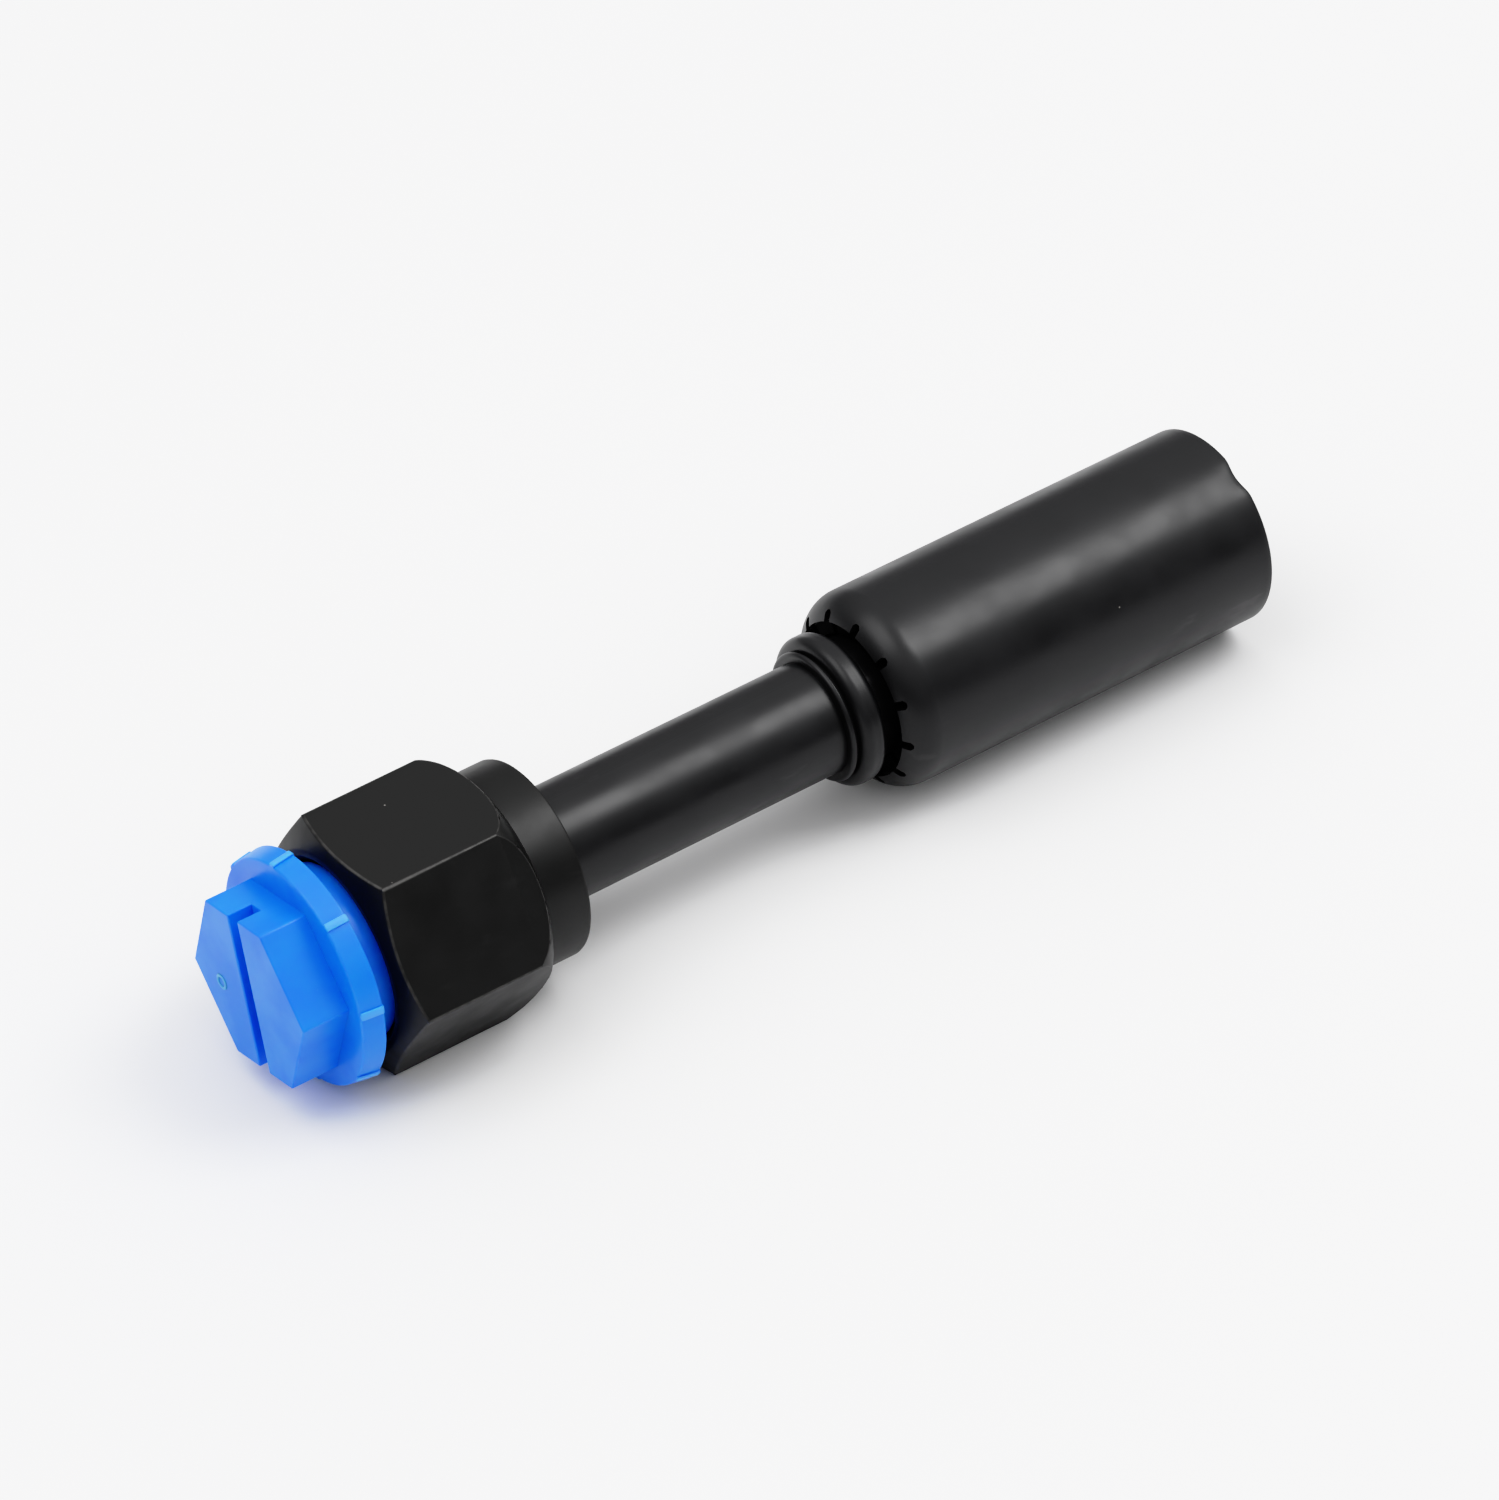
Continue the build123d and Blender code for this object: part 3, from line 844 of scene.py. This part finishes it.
@dataclass
class HoseInsert(Piece):
    """Turned insert: socket ring, groove, large bead, sleeve seat, stop and ribbed nipple."""

    socket_radius: float = 6.37
    ring_radius: float = 7.4
    ring_width: float = 0.65
    ring_front_round: float = 0.45
    ring_back_round: float = 0.18
    groove_radius: float = 7.0
    groove_width: float = 0.3
    bead_height: float = 1.6
    bead_width: float = 3.1
    bead_valley: float = 0.07
    valley_width: float = 0.3
    bead_squareness: float = 2.5
    bead_steps: int = 24
    seat_radius: float = 6.9
    stop_front: float = 67.75
    stop_width: float = 1.6
    stop_step: float = 1.6
    stop_edge: float = 0.2
    neck_edge: float = 0.3
    tip_edge: float = 0.6
    bore_edge: float = 0.2
    nipple_radius: float = 5.2
    nipple_bore: float = 3.9
    tube_bore: float = 5.1
    socket_depth: float = 4.0
    funnel_overrun: float = 0.4
    ribs: int = 5
    rib_height: float = 0.3
    rib_width: float = 1.8
    rib_margin: float = 5.0
    rib_steps: int = 8
    columns: int = 128

    def shape(self) -> Mesh:
        """Turns the insert."""
        low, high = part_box(self.node)
        mouth, tip = low.x / MM, high.x / MM
        bead_front = mouth + self.ring_width + self.groove_width
        bead_back = bead_front + self.bead_width
        stop_radius = self.seat_radius + self.stop_step
        stop_back = self.stop_front + self.stop_width
        return turned([
            Corner(mouth, self.socket_radius),
            Corner(mouth, self.ring_radius, self.ring_front_round, steps=5),
            Corner(mouth + self.ring_width, self.ring_radius, self.ring_back_round),
            Corner(mouth + self.ring_width, self.groove_radius),
            *self.bead(bead_front),
            Corner(bead_back, self.seat_radius),
            Corner(self.stop_front, self.seat_radius),
            Corner(self.stop_front, stop_radius, self.stop_edge),
            Corner(stop_back, stop_radius, self.stop_edge),
            Corner(stop_back, self.nipple_radius, self.neck_edge),
            *self.barbs(stop_back, tip),
            Corner(tip, self.nipple_radius, self.tip_edge, steps=2),
            Corner(tip, self.nipple_bore, self.bore_edge),
            Corner(stop_back + self.funnel_overrun, self.nipple_bore),
            Corner(mouth + self.socket_depth, self.tube_bore),
            Corner(mouth + self.socket_depth, self.socket_radius),
        ], self.columns)

    def bead(self, front: float) -> list[Corner]:
        """Makes the large bead, squarish with a faint valley along its crest."""
        corners = []
        for step in range(self.bead_steps + 1):
            across = -math.cos(math.pi * step / self.bead_steps)
            rise = (1 - abs(across) ** self.bead_squareness) ** (1 / self.bead_squareness)
            valley = self.bead_valley * math.exp(-((across / self.valley_width) ** 2))
            x = front + self.bead_width * (1 + across) / 2
            corners.append(Corner(x, self.groove_radius + self.bead_height * rise - valley))
        return corners

    def barbs(self, stop_back: float, tip: float) -> list[Corner]:
        """Makes the low rounded ribs along the nipple."""
        corners = []
        first = stop_back + self.rib_margin
        spacing = (tip - self.rib_margin - first) / (self.ribs - 1)
        for rib in range(self.ribs):
            centre = first + rib * spacing
            for step in range(self.rib_steps + 1):
                share = step / self.rib_steps
                x = centre + self.rib_width * (share - 0.5)
                corners.append(Corner(x, self.nipple_radius + self.rib_height * math.sin(math.pi * share)))
        return corners


@dataclass
class ShippingPlug(Piece):
    """Moulded plug: slotted hexagon head, ridged flange, neck and a hollow threaded shank."""

    head_flats: float = 18.3
    head_length: float = 5.5
    head_edge: float = 0.2
    least_angle: float = 0.1
    slot_width: float = 1.8
    slot_depth: float = 2.9
    phase: float = 12.8
    flange_width: float = 2.6
    flange_front_radius: float = 12.65
    flange_back_radius: float = 13.05
    flange_round: float = 0.25
    web_radius: float = 11.4
    ridges: int = 8
    ridge_columns: float = 1.1
    ridge_height: float = 0.26
    ridge_round: float = 0.08
    rim_margin: float = 0.09
    neck_radius: float = 9.75
    neck_root: float = 0.25
    neck_edge: float = 0.15
    neck_end: float = 0.8
    shank_bore: float = 7.0
    shank_edge: float = 0.2
    shank_floor: float = -2.0
    floor_round: float = 0.5
    end_radius: float = 7.95
    thread_clearance: float = 0.13
    thread_delay: float = 0.3
    thread_fade: float = 0.9
    gate_radius: float = 5.4
    gate_angle: float = 187.3
    gate_ring: float = 0.72
    gate_cord: float = 0.2
    gate_height: float = 0.12
    gate_steps: int = 12
    gate_columns: int = 48
    columns: int = 192
    thread: ScrewThread = field(default_factory=ScrewThread)

    def shape(self) -> Mesh:
        """Moulds the plug as one skin, turned to its own phase."""
        low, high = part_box(self.node)
        front, end = low.x / MM + self.gate_height, high.x / MM
        face = front + self.head_length
        mesh = turned(self.section(face, end), self.columns, closed=False)
        self.raise_ridges(mesh, face)
        self.add_head(mesh, face)
        self.add_gate_ring(mesh, front)
        turn_up(mesh, self.phase)
        self.cut_thread(mesh, end)
        self.lighten_crests(mesh, front)
        face_out(mesh)
        return mesh

    def lighten_crests(self, mesh: Mesh, front: float) -> None:
        """Marks the ridges' crests and the gate ring, which the plastic paints lighter as a painted
        highlight.
        """
        crest = mesh.verts.layers.float.new(CREST)
        slope = (self.flange_back_radius - self.flange_front_radius) / self.flange_width
        for vertex in mesh.verts:
            along = vertex.co.x / MM - front
            rim = self.flange_front_radius + slope * (along - self.head_length)
            if along < -self.gate_height / 4 or radius_of(vertex.co) > rim + self.ridge_height / 2:
                vertex[crest] = 1.0

    def section(self, face: float, end: float) -> list[Corner]:
        """Makes the open section, from the flange's front face round to the shank's end and its floor."""
        back = face + self.flange_width
        root = self.thread.minor_radius - self.thread_clearance
        rows = self.thread.rows(self.neck_end, end)[:-1]
        return [
            Corner(face, self.web_radius),
            Corner(face, self.flange_front_radius, self.flange_round),
            Corner(back, self.flange_back_radius, self.flange_round),
            Corner(back, self.neck_radius, self.neck_root),
            Corner(self.neck_end, self.neck_radius, self.neck_edge),
            *[Corner(x, root) for x in rows],
            Corner(end, self.end_radius),
            Corner(end, self.shank_bore, self.shank_edge),
            Corner(self.shank_floor, self.shank_bore, self.floor_round),
            Corner(self.shank_floor, 0),
        ]

    def raise_ridges(self, mesh: Mesh, face: float) -> None:
        """Raises the grip ridges across the flange's rim."""
        half = self.ridge_columns * math.tau / self.columns
        step = math.tau / self.ridges
        rim = []
        for item in mesh.faces:
            centre = item.calc_center_median()
            turn = math.remainder(math.atan2(centre.z, -centre.y), step)
            on_rim = radius_of(centre) > self.flange_front_radius - self.rim_margin
            if on_rim and abs(turn) < half and centre.x / MM < face + self.flange_width:
                rim.append(item)
        raised = bmesh.ops.extrude_face_region(mesh, geom=rim)["geom"]
        bmesh.ops.delete(mesh, geom=rim, context="FACES")
        tops = [item for item in raised if isinstance(item, bmesh.types.BMVert)]
        crowns = {item for item in raised if isinstance(item, Face)}
        for vertex in tops:
            set_radius(vertex.co, radius_of(vertex.co) + self.ridge_height)
        edges = [edge for edge in mesh.edges if len(crowns.intersection(edge.link_faces)) == 1]
        bevel(mesh, edges, self.ridge_round, steps=2)

    def add_head(self, mesh: Mesh, face: float) -> None:
        """Adds the slotted hexagon head and webs it to the flange's front face."""
        take_in(mesh, self.head(face))
        seam = [edge for edge in mesh.edges if edge.is_boundary]
        bmesh.ops.triangle_fill(mesh, edges=seam, use_beauty=True, use_dissolve=False, normal=(-1, 0, 0))

    def head(self, face: float) -> Mesh:
        """Makes the head with two flats up and down, its base open at the flange's front face."""
        head = bmesh.new()
        front = (face - self.head_length) * MM
        place = Matrix.Translation((front, 0, 0)) @ Matrix.Rotation(math.radians(90), 4, "Y")
        bmesh.ops.create_circle(
            head,
            cap_ends=True,
            radius=self.head_flats / 2 / HEX_CORNER * MM,
            segments=6,
            matrix=place,
        )
        cap = head.faces[:]
        grown = bmesh.ops.extrude_face_region(head, geom=cap)["geom"]
        base = [item for item in grown if isinstance(item, bmesh.types.BMVert)]
        bmesh.ops.translate(head, verts=base, vec=(self.head_length * MM, 0, 0))
        bottom = [item for item in grown if isinstance(item, Face)]
        bmesh.ops.delete(head, geom=bottom, context="FACES_ONLY")
        self.cut_slot(head, front)
        face_out(head)
        sharp = [edge for edge in head.edges
                 if not edge.is_boundary and edge.is_convex and edge.calc_face_angle() > self.least_angle]
        bevel(head, sharp, self.head_edge, steps=3)
        return head

    def cut_slot(self, head: Mesh, front: float) -> None:
        """Cuts the screwdriver slot from flat to flat; front is the front face's station in metres."""
        half = self.slot_width / 2 * MM
        floor = front + self.slot_depth * MM
        for place in (half, -half):
            cut_plane(head, Vector((0, place, 0)), Vector((0, 1, 0)))
        cut_plane(head, Vector((floor, 0, 0)), Vector((1, 0, 0)))

        def in_slot(item: Face) -> bool:
            """Whether a face lies within the slot's width and depth."""
            centre = item.calc_center_median()
            return abs(centre.y) < half - MERGE and centre.x < floor - MERGE

        strips = [item for item in head.faces if in_slot(item)]
        mouth = [item for item in strips if item.calc_center_median().x < front + MERGE]
        ends = [item for item in strips if item not in mouth]
        bmesh.ops.delete(head, geom=ends, context="FACES")
        sunk = bmesh.ops.extrude_face_region(head, geom=mouth)["geom"]
        bmesh.ops.delete(head, geom=mouth, context="FACES")
        corners = [item for item in sunk if isinstance(item, bmesh.types.BMVert)]
        bmesh.ops.translate(head, verts=corners, vec=(floor - front, 0, 0))
        walls = [item for item in head.faces if in_slot(item)]
        bmesh.ops.delete(head, geom=walls, context="FACES")
        bmesh.ops.remove_doubles(head, verts=head.verts[:], dist=MERGE)

    def add_gate_ring(self, mesh: Mesh, front: float) -> None:
        """Adds the low ring that the mould gate left on the head's front face."""
        angles = [math.tau * step / self.gate_steps for step in range(self.gate_steps)]
        ring = turned([
            Corner(-self.gate_height * math.cos(angle), self.gate_ring + self.gate_cord * math.sin(angle))
            for angle in angles
        ], self.gate_columns)
        bmesh.ops.translate(ring, verts=ring.verts[:], vec=(front * MM, -self.gate_radius * MM, 0))
        turn_up(ring, self.gate_angle)
        take_in(mesh, ring)

    def cut_thread(self, mesh: Mesh, end: float) -> None:
        """Raises the thread on the shank, with a run-out at the neck and a lead at the end."""
        root = self.thread.minor_radius - self.thread_clearance
        for vertex in mesh.verts:
            x = vertex.co.x / MM
            radius = radius_of(vertex.co)
            if self.neck_end - NEAR < x < end - NEAR and abs(radius - root) < NEAR:
                fade = min(max((x - self.neck_end - self.thread_delay) / self.thread_fade, 0.0), 1.0)
                crest = root + self.thread.height(vertex.co) * fade
                set_radius(vertex.co, min(crest, self.end_radius + end - x))


@dataclass(frozen=True)
class KeptNode:
    """A CAD node whose shape is right and that only gets its finish here."""

    node: str
    finish: Callable[[], bpy.types.Material]

    def dress(self) -> None:
        """Gives the node its finish."""
        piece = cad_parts[self.node]
        material = self.finish()
        if piece.material_slots:
            piece.material_slots[0].material = material
        else:
            piece.data.materials.append(material)
        log.info("%s: kept from the CAD model", self.node)


# ---- studio ----


@dataclass(frozen=True)
class Softbox:
    """A square area light that faces the object.

    Azimuth is counted from +Y towards +X, and radiance is how bright the light's face looks.
    """

    name: str
    azimuth: float
    elevation: float
    distance: float
    size: float
    radiance: float

    def build(self, target: Vector) -> bpy.types.Object:
        """Hangs the light and turns it to the target."""
        azimuth, elevation = math.radians(self.azimuth), math.radians(self.elevation)
        towards = Vector((
            math.sin(azimuth) * math.cos(elevation),
            math.cos(azimuth) * math.cos(elevation),
            math.sin(elevation),
        ))
        data = bpy.data.lights.new(self.name, "AREA")
        data.size = self.size
        data.energy = self.radiance * math.pi * self.size**2
        light = put_in_scene(self.name, data)
        light.location = target + towards * self.distance
        light.rotation_mode = "QUATERNION"
        light.rotation_quaternion = towards.to_track_quat("Z", "Y")
        return light


@dataclass(frozen=True)
class ProductCamera:
    """The camera that looks down along the hose end from its plug."""

    azimuth: float = -35.526
    elevation: float = 40.466
    roll: float = -1.289
    distance: float = 759.7
    target: Triple = (52.13, -0.23, 0.08)
    lens: float = 173.93

    def build(self) -> bpy.types.Object:
        """Places the camera and makes it the scene's own."""
        azimuth, elevation = math.radians(self.azimuth), math.radians(self.elevation)
        back = Vector((
            math.sin(azimuth) * math.cos(elevation),
            -math.cos(azimuth) * math.cos(elevation),
            math.sin(elevation),
        ))
        level = Vector((math.cos(azimuth), math.sin(azimuth), 0))
        axes = Matrix((level, back.cross(level), back)).transposed()
        data = bpy.data.cameras.new("product camera")
        data.lens = self.lens
        camera = put_in_scene("product camera", data)
        camera.rotation_mode = "QUATERNION"
        turned_axes = axes @ Matrix.Rotation(math.radians(self.roll), 3, "Z")
        camera.rotation_quaternion = turned_axes.to_quaternion()
        camera.location = (Vector(self.target) + back * self.distance) * MM
        bpy.context.scene.camera = camera
        return camera


@dataclass
class Studio:
    """Pale floor, soft lights and the camera."""

    floor_size: float = 8.0
    front_rest: tuple[float, float] = (-2.6, -13.06)
    back_rest_inset: float = 0.4
    back_rest_gap: float = 0.01
    aim: Triple = (50.0, 0.0, 0.0)
    softboxes: tuple[Softbox, ...] = (
        Softbox("key softbox", 118, 57, 1.3, 0.62, 3.4),
        Softbox("side softbox", -70, 58, 1.5, 1.1, 1.2),
    )
    low_sky: float = 0.12
    high_sky: float = 0.95
    seen_sky: float = 0.90
    tone: tuple[tuple[float, float], ...] = (
        (0.02, 0.006), (0.035, 0.018), (0.06, 0.05), (0.10, 0.115), (0.15, 0.20), (0.25, 0.36),
        (0.36, 0.54), (0.45, 0.67), (0.65, 0.825), (0.92, 0.95),
    )
    white: tuple[float, float] = (1.0, 0.974)

    def build(self) -> None:
        """Lays the floor, hangs the lights, sets the sky and places the camera."""
        self.lay_floor()
        for softbox in self.softboxes:
            softbox.build(Vector(self.aim) * MM)
        self.set_sky()
        ProductCamera().build()
        self.set_tone()

    def set_tone(self) -> None:
        """Gives the picture a camera's contrast: deep blacks and a soft shoulder below white."""
        view = bpy.context.scene.view_settings
        view.view_transform = "Standard"
        view.use_curve_mapping = True
        curve = view.curve_mapping.curves[3]
        for light, shown in self.tone:
            curve.points.new(light, shown)
        curve.points[len(curve.points) - 1].location = self.white
        view.curve_mapping.update()

    def lay_floor(self) -> None:
        """Lays the floor under the plug's flange and the sleeve's open end, on which the object rests."""
        low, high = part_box("crimp_sleeve")
        front_x, front_z = self.front_rest
        back_x, back_z = high.x / MM - self.back_rest_inset, low.z / MM - self.back_rest_gap
        tilt = math.atan2(back_z - front_z, back_x - front_x)
        mesh = bmesh.new()
        bmesh.ops.create_grid(mesh, x_segments=2, y_segments=2, size=self.floor_size / 2)
        place = Matrix.Translation((front_x * MM, 0, front_z * MM)) @ Matrix.Rotation(-tilt, 4, "Y")
        bmesh.ops.transform(mesh, matrix=place, verts=mesh.verts[:])
        data = bpy.data.meshes.new("floor")
        mesh.to_mesh(data)
        mesh.free()
        data.materials.append(PaleSheet("pale sheet").make())
        put_in_scene("floor", data)

    def set_sky(self) -> None:
        """Makes the dim room light, darker near the horizon, and a pale background."""
        world = bpy.data.worlds.new("studio")
        world.use_nodes = True
        tree = world.node_tree
        tree.nodes.clear()

        def add(kind: str) -> bpy.types.Node:
            """Adds a node to the world."""
            return tree.nodes.new(kind)

        split = add("ShaderNodeSeparateXYZ")
        tree.links.new(add("ShaderNodeTexCoord").outputs["Generated"], split.inputs["Vector"])
        ramp = add("ShaderNodeMapRange")
        tree.links.new(split.outputs["Z"], ramp.inputs["Value"])
        ramp.inputs["To Min"].default_value = self.low_sky
        ramp.inputs["To Max"].default_value = self.high_sky
        room, seen = add("ShaderNodeBackground"), add("ShaderNodeBackground")
        for background in (room, seen):
            background.inputs["Color"].default_value = (1, 1, 1, 1)
        tree.links.new(ramp.outputs["Result"], room.inputs["Strength"])
        seen.inputs["Strength"].default_value = self.seen_sky
        mix = add("ShaderNodeMixShader")
        tree.links.new(add("ShaderNodeLightPath").outputs["Is Camera Ray"], mix.inputs["Fac"])
        tree.links.new(room.outputs["Background"], mix.inputs[1])
        tree.links.new(seen.outputs["Background"], mix.inputs[2])
        tree.links.new(mix.outputs["Shader"], add("ShaderNodeOutputWorld").inputs["Surface"])
        bpy.context.scene.world = world


def main() -> None:
    """Builds the hose end from the nut outwards, then the studio."""
    satin = BlackCoat("satin black coat").make
    # The matt coat paints the nut's edge crests lighter, partly as wear and partly as a painted highlight.
    matt = BlackCoat("matt black coat", (0.0062, 0.0062, 0.0062), roughness=0.42, draw_marks=0.0,
                     scuffs=0.12, edge_wear_and_highlight=0.5).make
    # The sleeve's coat gets painted shade inside 8.8 mm from the axis.
    sleeve_coat = BlackCoat("satin black coat, painted shade inside", painted_shade_radius=8.8).make
    blue = MouldedPlastic("blue moulded plastic").make
    pieces = (
        SwivelNut("threaded_nut", "swivel_nut", Body.NUT, Slot.MATT_BLACK, matt),
        ShippingPlug("threaded_plug", "shipping_plug", Body.PLUG, Slot.BLUE, blue),
        HoseInsert("collared_insert", "hose_insert", Body.STEM, Slot.SATIN_BLACK, satin),
        CrimpSleeve("notched_sleeve", "crimp_sleeve", Body.SLEEVE, Slot.SATIN_BLACK, sleeve_coat),
    )
    for piece in pieces:
        piece.build()
    KeptNode("connector_tube", satin).dress()
    KeptNode("nose_o_ring", OiledRubber("oiled green rubber").make).dress()
    Studio().build()


if __name__ == "__main__":
    logging.basicConfig(level=logging.INFO, format="%(name)s: %(message)s")
    main()
